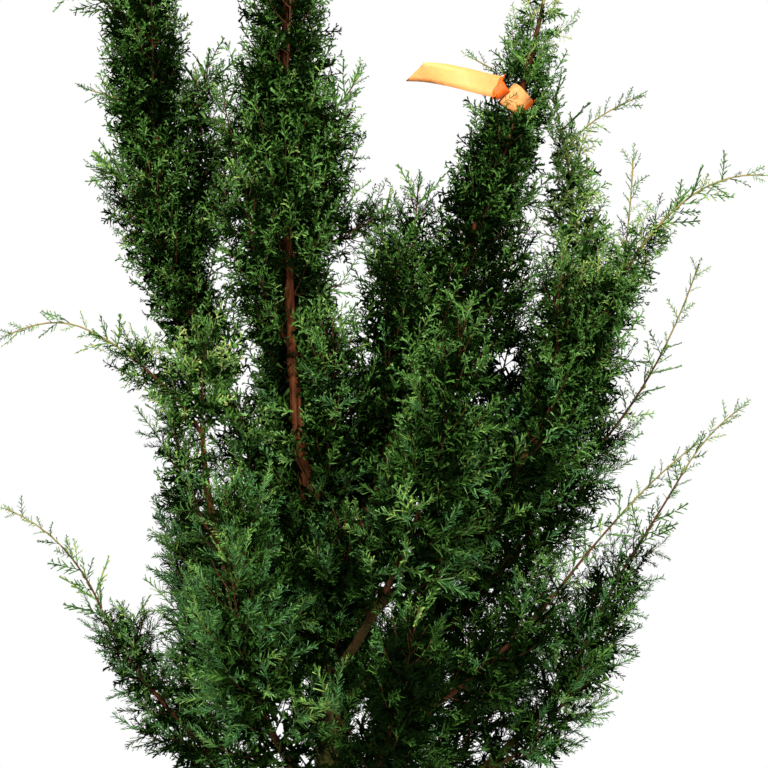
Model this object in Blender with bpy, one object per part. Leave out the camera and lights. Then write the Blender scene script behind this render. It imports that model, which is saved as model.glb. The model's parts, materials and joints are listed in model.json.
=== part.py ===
# A Chinese juniper, grown as a clump of upright leaders and arching boughs from one short trunk.
#
# Metres, +Z up. The origin is the centre of the flat cut under the trunk, at ground level.
# +X is the side that the longest boughs reach to, and -Y is the front.
# Headings are degrees round +Z from +X. Leans are degrees from upright.

import math

import bpy
import bmesh
import numpy as np

GAP = 0.0003  # clear space between pieces that meet
MELT_ANGLE = math.radians(1.0)  # faces flatter than this to each other are made one
GOLDEN_TURN = 137.5  # degrees between one twig and the next up the same stem
SEED = 41

TRUNK_SIDES = 10
LIMB_SIDES = 7
STEM_SIDES = 4
SHOOT_SIDES = 3
CORE_SIDES = 5
LIMB_STEP = 0.09  # length of one straight piece of a limb
STEM_STEP = 0.10  # length of one straight piece of a mass's own stem
CORE_STEP = 0.075  # between one ring of a core and the next
GROWTH_STEP = 0.03  # length over which a centreline keeps its direction

FLARE = 0.020  # how much wider the trunk is at the ground than its taper gives
FLARE_HEIGHT = 0.045  # height over which the root flare dies away to a third
FLARE_LOBES = 5
FLARE_SWELL = 0.22  # how far the lobes of the flare stand out and in

SPRAY_STEP = 0.031  # between one spray and the next up a stem
OPEN_REACH = 0.046  # a stretch of stem with less reach than this has no core
SPRAY_THICKNESS = 0.07  # of a spray's length, across the middle of it
LIMB_CLEARANCE = 0.0022  # between a spray and a limb that it passes
SPACE_MARGIN = 0.0045  # between a spray and the next mass's space
CORE_SHARE = 0.46  # of a mass's reach, taken by its dense core
SPRAY_OUTLINE = (
    (0.00, 0.000), (0.38, 0.260), (0.48, 0.090), (0.74, 0.190),
    (1.00, 0.000), (0.66, -0.215), (0.45, -0.085), (0.32, -0.235),
)  # in shares of its length: along it, and across it

YOUNG_MASSES = ("left_shoot_foliage", "right_plume_foliage", "upper_right_bough_tip")

TAPE_SPOT = 0.752  # share of the right leader's length where the marking tape is tied
TAPE_WIDTH = 0.029
TAPE_THICKNESS = 0.0012
LOOP_SIDES = 8
LOOP_RADII = (0.024, 0.015)  # of the tape's loose loop, across the view and along it
TAIL_LENGTH = 0.118

BARK = ("bark", (0.165, 0.072, 0.036), 0.85)
FOLIAGE = ("foliage", (0.030, 0.105, 0.036), 0.62)
YOUNG_FOLIAGE = ("young_foliage", (0.150, 0.245, 0.060), 0.60)
TAPE = ("tape", (0.95, 0.33, 0.06), 0.35)

# One row for each limb. at is the share of its parent's length where it leaves. leans, radii and
# reach are read at even stations along it. reach is how far foliage stands out round the stretch
# beyond bare, the share of its length that is a limb on its own. sides gives the masses that grow
# from it, as (how many, share of the first, share of the last, heading of the first, stem length,
# reach, lean), and shoots gives the long young shoots of its foliage, as (share, heading, leans,
# length).
LIMBS = {
    "trunk": dict(
        parent=None, at=0, heading=180, swing=0, length=1.74, bare=0.82,
        leans=(0, 2, 9, 2.5, 0.5, -1, 0), radii=(0.0290, 0.0225, 0.0100, 0.0072, 0.0058, 0.0038, 0.0010),
        reach=(0.060, 0.066, 0.052, 0.024), sides=(8, 0.27, 0.75, 175, 0.31, 0.088, 42), shoots=(),
    ),
    "left_leader": dict(
        parent="trunk", at=0.290, heading=150, swing=0, length=1.24, bare=0.74,
        leans=(26, 36, 22, 10, 12, 8, 4), radii=(0.0115, 0.0098, 0.0082, 0.0068, 0.0055, 0.0038, 0.0010),
        reach=(0.066, 0.068, 0.050, 0.024), sides=(5, 0.32, 0.68, 240, 0.30, 0.084, 38),
        shoots=((0.10, 185, (60, 30), 0.11),),
    ),
    "right_leader": dict(
        parent="trunk", at=0.232, heading=8, swing=0, length=1.10, bare=0.81,
        leans=(16, 17, 24, 20, 19, 14, 2), radii=(0.0130, 0.0112, 0.0092, 0.0074, 0.0058, 0.0042, 0.0010),
        reach=(0.050, 0.050, 0.044, 0.024), sides=(5, 0.13, 0.62, 90, 0.31, 0.090, 42), shoots=(),
    ),
    "right_plume": dict(
        parent="right_leader", at=0.070, heading=24, swing=-4, length=0.90, bare=0.46,
        leans=(66, 57, 47, 28, -1, -10, -14), radii=(0.0070, 0.0050, 0.0030, 0.0010),
        reach=(0.080, 0.088, 0.070, 0.028), sides=None,
        shoots=((0.82, 5, (34, 48, 60, 66), 0.13),),
    ),
    "upper_right_bough": dict(
        parent="right_leader", at=0.030, heading=344, swing=-2, length=0.90, bare=0.66,
        leans=(64, 55, 45, 36, 28, 28, 32, 52, 94), radii=(0.0085, 0.0066, 0.0048, 0.0034, 0.0009),
        reach=(0.070, 0.050, 0.034, 0.014), sides=(2, 0.36, 0.54, 60, 0.27, 0.090, 48),
        shoots=((0.18, 350, (8, 6, 2), 0.165),),
    ),
    "right_bough": dict(
        parent="trunk", at=0.191, heading=357, swing=-3, length=0.815, bare=0.32,
        leans=(62, 55, 41, 38, 39, 27, 18), radii=(0.0074, 0.0056, 0.0038, 0.0008),
        reach=(0.095, 0.092, 0.060, 0.034, 0.024, 0.010), sides=None, shoots=(),
    ),
    "low_right_bough": dict(
        parent="trunk", at=0.140, heading=345, swing=0, length=0.69, bare=0.26,
        leans=(57, 60, 48, 38, 42, 52), radii=(0.0068, 0.0052, 0.0036, 0.0008),
        reach=(0.095, 0.092, 0.050, 0.030, 0.022, 0.010), sides=None, shoots=(),
    ),
    "lowest_right_bough": dict(
        parent="trunk", at=0.075, heading=10, swing=0, length=0.88, bare=0.43,
        leans=(73, 64, 52, 37, 26, 34, 31, 56), radii=(0.0072, 0.0056, 0.0040, 0.0008),
        reach=(0.090, 0.084, 0.052, 0.032, 0.022, 0.010), sides=(2, 0.13, 0.27, 130, 0.29, 0.096, 34), shoots=(),
    ),
    "left_bough": dict(
        parent="trunk", at=0.165, heading=200, swing=0, length=0.61, bare=0.79,
        leans=(44, 36, 28, 18, 8, 0, -9), radii=(0.0078, 0.0062, 0.0044, 0.0010),
        reach=(0.080, 0.076, 0.036), sides=(2, 0.24, 0.50, 290, 0.27, 0.088, 44), shoots=(),
    ),
    "left_shoot": dict(
        parent="left_bough", at=0.77, heading=188, swing=0, length=0.33, bare=0,
        leans=(26, 42, 48, 54, 66, 98, 116), radii=(0.0030, 0.0008),
        reach=(0.060, 0.056, 0.030, 0.012), sides=None, shoots=(),
    ),
    "low_left_bough": dict(
        parent="trunk", at=0.067, heading=190, swing=0, length=0.68, bare=0.22,
        leans=(56, 50, 46, 42, 37, 22, 42, 68), radii=(0.0066, 0.0050, 0.0034, 0.0008),
        reach=(0.095, 0.068, 0.036, 0.014), sides=None, shoots=(),
    ),
    "front_left_bough": dict(
        parent="trunk", at=0.105, heading=240, swing=0, length=0.50, bare=0.25,
        leans=(66, 44, 22, 12), radii=(0.0062, 0.0046, 0.0010),
        reach=(0.100, 0.104, 0.076, 0.026), sides=None, shoots=(),
    ),
    "front_bough": dict(
        parent="trunk", at=0.080, heading=290, swing=0, length=0.50, bare=0.25,
        leans=(68, 50, 34, 26), radii=(0.0060, 0.0044, 0.0010),
        reach=(0.100, 0.104, 0.076, 0.026), sides=None, shoots=(),
    ),
    "front_right_bough": dict(
        parent="trunk", at=0.208, heading=306, swing=6, length=0.62, bare=0.26,
        leans=(52, 36, 22, 12), radii=(0.0068, 0.0050, 0.0010),
        reach=(0.098, 0.104, 0.080, 0.026), sides=None, shoots=(),
    ),
    "back_right_bough": dict(
        parent="trunk", at=0.174, heading=50, swing=0, length=0.82, bare=0.38,
        leans=(58, 42, 24, 14), radii=(0.0074, 0.0056, 0.0010),
        reach=(0.098, 0.104, 0.078, 0.026), sides=None, shoots=(),
    ),
    "back_bough": dict(
        parent="trunk", at=0.220, heading=98, swing=0, length=0.84, bare=0.38,
        leans=(56, 38, 20, 8), radii=(0.0074, 0.0056, 0.0010),
        reach=(0.098, 0.104, 0.078, 0.026), sides=None, shoots=(),
    ),
    "back_left_bough": dict(
        parent="trunk", at=0.104, heading=126, swing=0, length=0.64, bare=0.34,
        leans=(66, 50, 32, 20), radii=(0.0066, 0.0048, 0.0010),
        reach=(0.098, 0.102, 0.076, 0.024), sides=None, shoots=(),
    ),
    "low_back_bough": dict(
        parent="trunk", at=0.081, heading=68, swing=0, length=0.58, bare=0.32,
        leans=(70, 56, 40, 30), radii=(0.0060, 0.0044, 0.0010),
        reach=(0.098, 0.100, 0.074, 0.024), sides=None, shoots=(),
    ),
}

# Side masses that leave the row's rule: the share of the limb where each starts, its heading, its
# size and its lean.
SIDE_PLACES = {
    "trunk_foliage_5": (0.545, 2, 0.80, 40),
    "trunk_foliage_6": (0.600, 118, 0.78, 38),
    "left_leader_foliage_1": (0.320, 252, 0.88, 26),
    "left_leader_foliage_3": (0.500, 130, 0.84, 30),
    "right_leader_foliage_2": (0.275, 227, 0.95, 42),
    "right_leader_foliage_4": (0.405, 168, 0.78, 46),
    "left_bough_foliage_2": (0.50, 216, 0.80, 24),
    "lowest_right_bough_foliage_2": (0.26, 322, 0.80, 34),
}

SIDE_SHRINK = 0.30  # how much smaller the last side mass of a limb is than the first
SIDE_LEANS = (1.0, 0.5, 0.25, 0.1)  # shares of a side mass's first lean, at stations along its stem
SIDE_REACH = (0.72, 1.0, 0.86, 0.42)  # shares of its reach, at stations along its stem
SIDE_STEM_RADIUS = 0.0036
RISING = 1.2  # how strongly a side mass's stem turns upright
SHOOT_REACH = (0.030, 0.020, 0.012)


def read_at(stations, share):
    """The value at this share of the way along evenly spaced stations."""
    return float(np.interp(share, np.linspace(0, 1, len(stations)), stations))


def unit(vector):
    """The vector at length 1."""
    return vector / np.linalg.norm(vector)


def way(heading, lean):
    """A direction from a heading and a lean, both in degrees."""
    turn, tilt = math.radians(heading), math.radians(lean)
    return np.array([math.sin(tilt) * math.cos(turn), math.sin(tilt) * math.sin(turn), math.cos(tilt)])


def grow(start, heading, swing, leans, length):
    """The centreline of a stem: it sets out from start and turns as its leans say."""
    count = max(3, round(length / GROWTH_STEP))
    points = [np.array(start, float)]
    for i in range(count):
        share = (i + 0.5) / count
        points.append(points[-1] + way(heading + swing * share, read_at(leans, share)) * length / count)
    return np.array(points)


def grow_side(start, ahead, heading, lean, length):
    """The centreline of a side mass's stem: it leaves its limb and turns up beside it."""
    out = way(heading, 90)
    out = unit(out - ahead * np.dot(out, ahead))
    count = max(3, round(length / GROWTH_STEP))
    points = [start]
    for i in range(count):
        share = (i + 0.5) / count
        tilt = math.radians(lean * read_at(SIDE_LEANS, share))
        along = unit(ahead + np.array([0.0, 0.0, RISING * share]))
        points.append(points[-1] + unit(along * math.cos(tilt) + out * math.sin(tilt)) * length / count)
    return np.array(points)


def point_at(path, share):
    """The place and direction at this share of the way along a centreline."""
    spot = share * (len(path) - 1)
    low = min(int(spot), len(path) - 2)
    return path[low] + (path[low + 1] - path[low]) * (spot - low), unit(path[low + 1] - path[low])


def length_of(path):
    """The length of a centreline."""
    return float(np.linalg.norm(np.diff(path, axis=0), axis=1).sum())


def stretch(path, first, last, step):
    """The points of a centreline between two shares of it, in steps of about this length, and
    their shares."""
    span = length_of(path) * (last - first)
    shares = np.linspace(first, last, max(2, round(span / step)) + 1)
    return np.array([point_at(path, share)[0] for share in shares]), shares


def across(ahead):
    """Two directions square to this one and to each other."""
    side = np.cross(ahead, (0.0, 0.0, 1.0))
    if np.linalg.norm(side) < 1e-3:
        side = np.array([1.0, 0.0, 0.0])
    side = unit(side)
    return side, np.cross(side, ahead)


def mesh_object(name, points, faces, collection=None):
    """A mesh object of triangles that face out."""
    mesh = bpy.data.meshes.new(name)
    mesh.from_pydata([tuple(point) for point in points], [], faces)
    shape = bmesh.new()
    shape.from_mesh(mesh)
    bmesh.ops.recalc_face_normals(shape, faces=shape.faces)
    bmesh.ops.triangulate(shape, faces=shape.faces)
    shape.to_mesh(mesh)
    shape.free()
    thing = bpy.data.objects.new(name, mesh)
    (collection or bpy.context.scene.collection).objects.link(thing)
    return thing


def tube(name, path, radii, sides, collection=None, swell=None):
    """A tapering tube along a centreline, closed by flat ends. swell widens it round its turn."""
    points, faces = [], []
    side = across(unit(path[1] - path[0]))[0]
    for i, (centre, radius) in enumerate(zip(path, radii)):
        ahead = unit(path[min(i + 1, len(path) - 1)] - path[max(i - 1, 0)])
        if i == 0 and swell:
            ahead = np.array([0.0, 0.0, 1.0])  # the foot is cut level with the ground
        side = unit(side - ahead * np.dot(side, ahead))
        up = np.cross(ahead, side)
        for j in range(sides):
            turn = 2 * math.pi * j / sides
            wide = radius * (swell(centre[2], turn) if swell else 1)
            points.append(centre + (side * math.cos(turn) + up * math.sin(turn)) * wide)
    for i in range(len(path) - 1):
        for j in range(sides):
            a, b = i * sides + j, i * sides + (j + 1) % sides
            faces.append((a, b, b + sides, a + sides))
    faces.append(tuple(range(sides))[::-1])
    faces.append(tuple(range(len(points) - sides, len(points))))
    return mesh_object(name, points, faces, collection)


def root_flare(height, turn):
    """How much wider the foot is at this height and turn than the trunk's own taper."""
    dying = math.exp(-height / FLARE_HEIGHT)
    lobes = 1 + FLARE_SWELL * math.cos(FLARE_LOBES * turn + 0.6)
    return 1 + dying * lobes * FLARE / LIMBS["trunk"]["radii"][0]


def spray(name, root, ahead, face, length, collection):
    """One spray of scale-leaved twigs: a flat toothed blade, thickest in its middle."""
    edge = np.cross(face, ahead)
    points = [root + (ahead * u + edge * v) * length for u, v in SPRAY_OUTLINE]
    middle, thick = root + ahead * 0.45 * length, face * SPRAY_THICKNESS / 2 * length
    points += [middle + thick, middle - thick]
    count, faces = len(SPRAY_OUTLINE), []
    for i in range(count):
        faces += [(i, (i + 1) % count, count), ((i + 1) % count, i, count + 1)]
    return mesh_object(name, points, faces, collection)


class Space:
    """The space round each mass's stem, and the limbs that foliage keeps clear of."""

    def __init__(self):
        self.centres, self.reaches, self.owners = [], [], []
        self.limb_points, self.limb_radii = [], []

    def add_mass(self, name, path, reach):
        for share in np.linspace(0.04, 0.98, max(4, round(length_of(path) / 0.04))):
            self.centres.append(point_at(path, share)[0])
            self.reaches.append(read_at(reach, share))
            self.owners.append(name)

    def add_limb(self, path, radii):
        for share in np.linspace(0, 1, max(6, round(length_of(path) / 0.006))):
            self.limb_points.append(point_at(path, share)[0])
            self.limb_radii.append(read_at(radii, share))

    def settle(self):
        self.centres, self.reaches = np.array(self.centres), np.array(self.reaches)
        self.owners = np.array(self.owners)
        self.limb_points, self.limb_radii = np.array(self.limb_points), np.array(self.limb_radii)

    def holds(self, name, points):
        """True if every point lies in this mass's space and clear of the limbs."""
        points = np.atleast_2d(points)
        apart = np.linalg.norm(points[:, None] - self.centres[None], axis=2)
        depth = apart ** 2 - self.reaches ** 2
        own = self.owners == name
        mine, others = depth[:, own].min(1), depth[:, ~own].min(1)
        margin = 2 * SPACE_MARGIN * np.sqrt(np.maximum(apart[:, ~own].min(1), 0.02))
        if (mine > 0.55 * self.reaches[own].max() ** 2).any() or (mine + margin * 0.25 > others).any():
            return False
        clear = np.linalg.norm(points[:, None] - self.limb_points[None], axis=2) - self.limb_radii
        return bool((clear.min(1) > LIMB_CLEARANCE).all())


def applied(name, source):
    """A new object with the source's modifiers applied. The source is removed."""
    bpy.context.view_layer.update()
    graph = bpy.context.evaluated_depsgraph_get()
    mesh = bpy.data.meshes.new_from_object(source.evaluated_get(graph))
    bpy.data.objects.remove(source)
    thing = bpy.data.objects.new(name, mesh)
    mesh.name = name
    bpy.context.scene.collection.objects.link(thing)
    return thing


def fused(thing, kind, cutters=(), helpers=None):
    """The object with the helpers fused on or the cutters taken away, as one closed body."""
    name, melts = thing.name, kind == "UNION"
    for solver, melt in (("MANIFOLD", melts), ("MANIFOLD", False), ("EXACT", False)):
        trial = bpy.data.objects.new(name + "_trial", thing.data.copy())
        bpy.context.scene.collection.objects.link(trial)
        for other in [helpers] if helpers else cutters:
            step = trial.modifiers.new("step", "BOOLEAN")
            step.operation, step.solver = kind, solver
            if helpers:
                step.operand_type, step.collection = "COLLECTION", other
            else:
                step.object = other
        made = applied(name + "_" + solver, trial)
        if clean(made, melt) or solver == "EXACT":
            break
        bpy.data.objects.remove(made)
    bpy.data.objects.remove(thing)
    for helper in list(helpers.objects) if helpers else ():
        bpy.data.objects.remove(helper)
    if helpers:
        bpy.data.collections.remove(helpers)
    made.name = made.data.name = name
    return made


def clean(thing, melt):
    """Keeps the largest body of a mesh, and tells whether it is closed. melt makes one face of
    faces that are nearly flat to each other."""
    shape = bmesh.new()
    shape.from_mesh(thing.data)
    bmesh.ops.remove_doubles(shape, verts=shape.verts, dist=1e-6)
    left, bodies = set(shape.faces), []
    while left:
        body = [left.pop()]
        for face in body:
            beside = {other for edge in face.edges for other in edge.link_faces} & left
            left -= beside
            body.extend(beside)
        bodies.append(body)
    bodies.sort(key=len)
    for body in bodies[:-1]:
        bmesh.ops.delete(shape, geom=body, context="FACES")
    if melt:
        bmesh.ops.dissolve_limit(shape, angle_limit=MELT_ANGLE, verts=shape.verts, edges=shape.edges)
    bmesh.ops.triangulate(shape, faces=shape.faces)
    closed = all(len(edge.link_faces) == 2 for edge in shape.edges)
    shape.to_mesh(thing.data)
    shape.free()
    return closed


def material(slot):
    """The Principled material of this slot, made once."""
    name, colour, roughness = slot
    if name in bpy.data.materials:
        return bpy.data.materials[name]
    made = bpy.data.materials.new(name)
    made.use_nodes = True
    shader = made.node_tree.nodes["Principled BSDF"]
    shader.inputs["Base Color"].default_value = (*colour, 1)
    shader.inputs["Roughness"].default_value = roughness
    return made


def finish(thing, slot, smooth=False):
    """Gives the object its material and shading."""
    thing.data.materials.clear()
    thing.data.materials.append(material(slot))
    if smooth:
        thing.data.shade_smooth()
        thing.data.set_sharp_from_angle(angle=math.radians(50))


def limb_paths():
    """The centreline of every limb, each grown from its parent's."""
    paths = {}
    for name, limb in LIMBS.items():
        start = point_at(paths[limb["parent"]], limb["at"])[0] if limb["parent"] else np.zeros(3)
        paths[name] = grow(start, limb["heading"], limb["swing"], limb["leans"], limb["length"])
    return paths


def mass_rows(paths):
    """Every mass of foliage: its limb, its stem, the stem's radii, its reach and its shoots."""
    rows = {}
    for name, limb in LIMBS.items():
        if limb["sides"]:
            count, first, last, heading, length, reach, lean = limb["sides"]
            for i in range(count):
                step, label = i / max(count - 1, 1), f"{name}_foliage_{i + 1}"
                place = (first + (last - first) * step, heading + GOLDEN_TURN * i, 1.0 - SIDE_SHRINK * step, lean)
                share, turn, size, tilt = SIDE_PLACES.get(label, place)
                start, ahead = point_at(paths[name], share)
                rows[label] = dict(
                    limb=name, stem=grow_side(start, ahead, turn, tilt, length * size),
                    radii=(SIDE_STEM_RADIUS, SIDE_STEM_RADIUS * 0.3),
                    reach=tuple(reach * size * share for share in SIDE_REACH), shoots=[],
                )
        stem, shares = stretch(paths[name], limb["bare"], 1.0, GROWTH_STEP)
        shoots = []
        for share, heading, leans, length in limb["shoots"]:
            shoots.append(grow(point_at(stem, share)[0], heading, 0, leans, length))
        rows[name + ("_tip" if limb["sides"] else "_foliage")] = dict(
            limb=name, stem=stem, radii=(read_at(limb["radii"], limb["bare"]), limb["radii"][-1]),
            reach=limb["reach"], shoots=shoots,
        )
    return rows


def limb_rings(name, paths, wider=0.0, least=0.0):
    """A limb's rings, as tube takes them. wider makes it stand out by that much all round."""
    limb, path = LIMBS[name], paths[name]
    if limb["parent"] is None:
        foot = np.array([0.0, 0.018, 0.045, 0.085]) / limb["length"]
        shares = np.concatenate([foot, np.linspace(0.14 / limb["length"], limb["bare"], 13)])
        points = np.array([point_at(path, share)[0] for share in shares])
    else:
        points, shares = stretch(path, 0.0, max(limb["bare"], least), LIMB_STEP)
    sides = LIMB_SIDES if limb["parent"] else TRUNK_SIDES
    radii = [read_at(limb["radii"], share) + wider / math.cos(math.pi / sides) for share in shares]
    points[-1] += unit(points[-1] - points[-2]) * wider
    return points, radii, sides, None, None if limb["parent"] else root_flare


def build_limb(name, paths, cutters):
    """One limb's solid, from its parent's bark to where it enters its foliage."""
    thing = tube(name, *limb_rings(name, paths))
    if cutters:
        thing = fused(thing, "DIFFERENCE", cutters=cutters)
    finish(thing, BARK, smooth=True)


def cutter_of(name, rings):
    """The shape that is taken away from a limb's neighbours, so that they stay a gap clear of it."""
    cutter = tube("cut_" + name, *rings)
    cutter.hide_render = True
    cutter.display_type = "WIRE"
    return cutter


def near(points, path, distance):
    """True if any of the points comes within this distance of a centreline."""
    return np.linalg.norm(points[:, None] - path[None], axis=2).min() < distance


def core(label, row, space, collection):
    """The dense heart of a mass: a lumpy spindle round its stem. It is drawn in wherever it would
    leave the mass's space."""
    dense = [share for share in np.linspace(0, 1, 41) if read_at(row["reach"], share) > OPEN_REACH]
    if len(dense) < 8:
        return
    first, last = dense[0] + 0.03, dense[-1] * 0.94
    centres, shares = stretch(row["stem"], first, last, CORE_STEP)
    points, faces = [centres[0]], []
    side = across(point_at(row["stem"], first)[1])[0]
    for ring, share in enumerate(shares[1:-1]):
        centre, ahead = point_at(row["stem"], share)
        side = unit(side - ahead * np.dot(side, ahead))
        up = np.cross(side, ahead)
        for j in range(CORE_SIDES):
            turn = 2 * math.pi * (j + 0.5 * (ring % 2)) / CORE_SIDES
            out = side * math.cos(turn) + up * math.sin(turn)
            wide = read_at(row["reach"], share) * CORE_SHARE * (1.0 + 0.26 * math.sin(5.1 * ring + 2.3 * j))
            while wide > 0.004 and not space.holds(label, [centre + out * wide, centre + out * wide * 0.6]):
                wide *= 0.84
            points.append(centre + out * wide)
    rings = len(shares) - 2
    points.append(centres[-1])
    for j in range(CORE_SIDES):
        follow = (j + 1) % CORE_SIDES
        faces.append((0, 1 + j, 1 + follow))
        for ring in range(rings - 1):
            a, b = 1 + ring * CORE_SIDES + j, 1 + ring * CORE_SIDES + follow
            skew = (a + CORE_SIDES, b + CORE_SIDES)
            faces += [(a, skew[0], skew[1]), (a, skew[1], b)] if ring % 2 else [(a, skew[0], b), (b, *skew)]
        outer = 1 + (rings - 1) * CORE_SIDES
        faces.append((len(points) - 1, outer + follow, outer + j))
    mesh_object(label + "_core", points, faces, collection)


def spray_fits(label, space, root, ahead, face, length):
    """True if a spray of this length keeps to its mass's space."""
    edge = np.cross(face, ahead)
    inner = [(0.25, 0.12), (0.25, -0.12), (0.62, 0.20), (0.86, 0.09), (0.84, -0.10), (0.5, 0)]
    tests = [root + (ahead * u + edge * v) * length for u, v in SPRAY_OUTLINE[1:] + tuple(inner)]
    return space.holds(label, tests)


def set_sprays(label, stem, reach, space, chance, collection):
    """Sprays at golden turns up a stem, each as large as its mass's space lets it be."""
    count = max(3, round(length_of(stem) / SPRAY_STEP))
    phase = chance.uniform(0, 360)
    for i in range(count):
        share = 0.06 + 0.88 * (i + 0.5) / count
        far = read_at(reach, share)
        centre, ahead = point_at(stem, share)
        side, up = across(ahead)
        sizes = (1.0, 0.86, 0.72, 0.58)
        for attempt in range(8):
            turn = math.radians(phase + GOLDEN_TURN * i + 67 * attempt)
            out = side * math.cos(turn) + up * math.sin(turn)
            spread = math.radians(chance.uniform(38, 58))
            forward = unit(ahead * math.cos(spread) + out * math.sin(spread) + np.array([0.0, 0.0, 0.15]))
            root = centre + out * far * (0.22 if far > OPEN_REACH else 0.0)
            twist = math.radians(chance.uniform(0, 180))
            flat = across(forward)
            face = flat[0] * math.cos(twist) + flat[1] * math.sin(twist)
            length = far * 1.34 + 0.010
            size = next((k for k in sizes if spray_fits(label, space, root, forward, face, length * k)), None)
            if size:
                spray(f"{label}_spray_{i}", root, forward, face, length * size, collection)
                break
    end, ahead = point_at(stem, 1.0)
    last = 0.03 + 0.6 * reach[-1]
    spray(f"{label}_leading_spray", end - ahead * last * 0.7, ahead, across(ahead)[0], last, collection)


def build_mass(label, row, space, cutters, chance):
    """One mass of foliage as one solid: its stem, shoots, core and sprays, fused."""
    helpers = bpy.data.collections.new(label + "_pieces")
    bpy.context.scene.collection.children.link(helpers)
    path, shares = stretch(row["stem"], 0.0, 1.0, STEM_STEP)
    thick = [max(read_at(row["radii"], share), 0.0011) for share in shares]
    first = tube(label + "_stem", path, thick, STEM_SIDES)
    core(label, row, space, helpers)
    set_sprays(label, row["stem"], row["reach"], space, chance, helpers)
    for i, shoot in enumerate(row["shoots"]):
        path, shares = stretch(shoot, 0.0, 1.0, STEM_STEP * 0.6)
        tube(f"{label}_shoot_{i}", path, [0.0018 - 0.0008 * share for share in shares], SHOOT_SIDES, helpers)
        set_sprays(f"{label}", shoot, SHOOT_REACH, space, chance, helpers)
    thing = fused(first, "UNION", helpers=helpers)
    if cutters:
        thing = fused(thing, "DIFFERENCE", cutters=cutters)
    thing.name = thing.data.name = label
    finish(thing, YOUNG_FOLIAGE if label in YOUNG_MASSES else FOLIAGE)


def tape_lines(paths):
    """The centrelines of the marking tape's loop and tail, its knot, and the leader's direction."""
    spot, ahead = point_at(paths["right_leader"], TAPE_SPOT)
    radius = read_at(LIMBS["right_leader"]["radii"], TAPE_SPOT)
    right = unit(np.array([1.0, 0.0, 0.0]) - ahead * ahead[0])
    back = np.cross(ahead, right)
    wall, front = (wide * math.cos(math.pi / LOOP_SIDES) for wide in LOOP_RADII)
    centre = spot + back * (front - radius - TAPE_THICKNESS / 2 - GAP)
    loop = []
    for i in range(LOOP_SIDES):
        turn = 2 * math.pi * (i + 0.5) / LOOP_SIDES
        loop.append(centre - right * LOOP_RADII[0] * math.cos(turn) + back * LOOP_RADII[1] * math.sin(turn))
    knot = centre - right * (wall + 0.006) - back * 0.006 + ahead * 0.006
    tail = []
    for share in np.linspace(0, 1, 6):
        rise = 0.022 * math.sin(1.5 * share)
        tail.append(knot + np.array([-TAIL_LENGTH * share, -0.010 * math.sin(3 * share), rise]))
    return np.array(loop), np.array(tail), knot, ahead


def strip(name, line, up, closed, collection=None):
    """A strip of tape along a centreline, its width lying along up."""
    points, faces, count = [], [], len(line)
    for i, centre in enumerate(line):
        before = line[i - 1] if closed or i else line[0]
        after = line[(i + 1) % count] if closed or i < count - 1 else line[-1]
        out = unit(np.cross(unit(after - before), up)) * TAPE_THICKNESS / 2
        high = up * TAPE_WIDTH / 2
        points += [centre - out - high, centre + out - high, centre + out + high, centre - out + high]
    for i in range(count if closed else count - 1):
        a, b = 4 * i, 4 * ((i + 1) % count)
        for j in range(4):
            k = (j + 1) % 4
            faces.append((a + j, a + k, b + k, b + j))
    if not closed:
        faces += [(0, 1, 2, 3), tuple(len(points) - 4 + j for j in (3, 2, 1, 0))]
    return mesh_object(name, points, faces, collection)


def build_tape(paths):
    """The marking tape: a loop round the right leader, a knot and one tail."""
    loop, tail, knot, ahead = tape_lines(paths)
    helpers = bpy.data.collections.new("tape_pieces")
    bpy.context.scene.collection.children.link(helpers)
    first = strip("tape_loop", loop, ahead, True)
    strip("tape_tail", tail, np.array([0.0, 0.0, 1.0]), False, helpers)
    ends = (knot - ahead * 0.014, knot, knot + ahead * 0.014)
    tube("tape_knot", np.array(ends), (0.004, 0.0085, 0.004), 6, helpers)
    thing = fused(first, "UNION", helpers=helpers)
    thing.name = thing.data.name = "marking_tape"
    finish(thing, TAPE)


def main():
    """Builds every limb, every mass of foliage and the tape."""
    for thing in list(bpy.data.objects):
        bpy.data.objects.remove(thing)
    paths = limb_paths()
    rows = mass_rows(paths)
    solid = [name for name, limb in LIMBS.items() if limb["bare"] > 0]
    lines = {name: stretch(paths[name], 0.0, LIMBS[name]["bare"], LIMB_STEP / 4) for name in solid}
    space = Space()
    for name, (line, shares) in lines.items():
        space.add_limb(line, [read_at(LIMBS[name]["radii"], share) for share in shares])
    loop, tail, knot, ahead = tape_lines(paths)
    space.add_limb(loop, (TAPE_WIDTH / 2,))
    space.add_limb(tail, (TAPE_WIDTH / 2,))
    for label, row in rows.items():
        space.add_mass(label, row["stem"], row["reach"])
        for shoot in row["shoots"]:
            space.add_mass(label, shoot, SHOOT_REACH)
    space.settle()
    cutters = {name: cutter_of(name, limb_rings(name, paths, wider=GAP)) for name in solid}
    for place, name in enumerate(solid):
        touching = [cutters[other] for other in solid[:place] if near(lines[name][0], lines[other][0], 0.05)]
        build_limb(name, paths, touching)
    chance = np.random.default_rng(SEED)
    for label, row in rows.items():
        distance = max(row["reach"]) + 0.03
        close = [name for name in solid if near(row["stem"], lines[name][0], distance)]
        build_mass(label, row, space, [cutters[name] for name in close], chance)
    for cutter in cutters.values():
        bpy.data.objects.remove(cutter)
    build_tape(paths)


main()
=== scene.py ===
import json
import math

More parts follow.
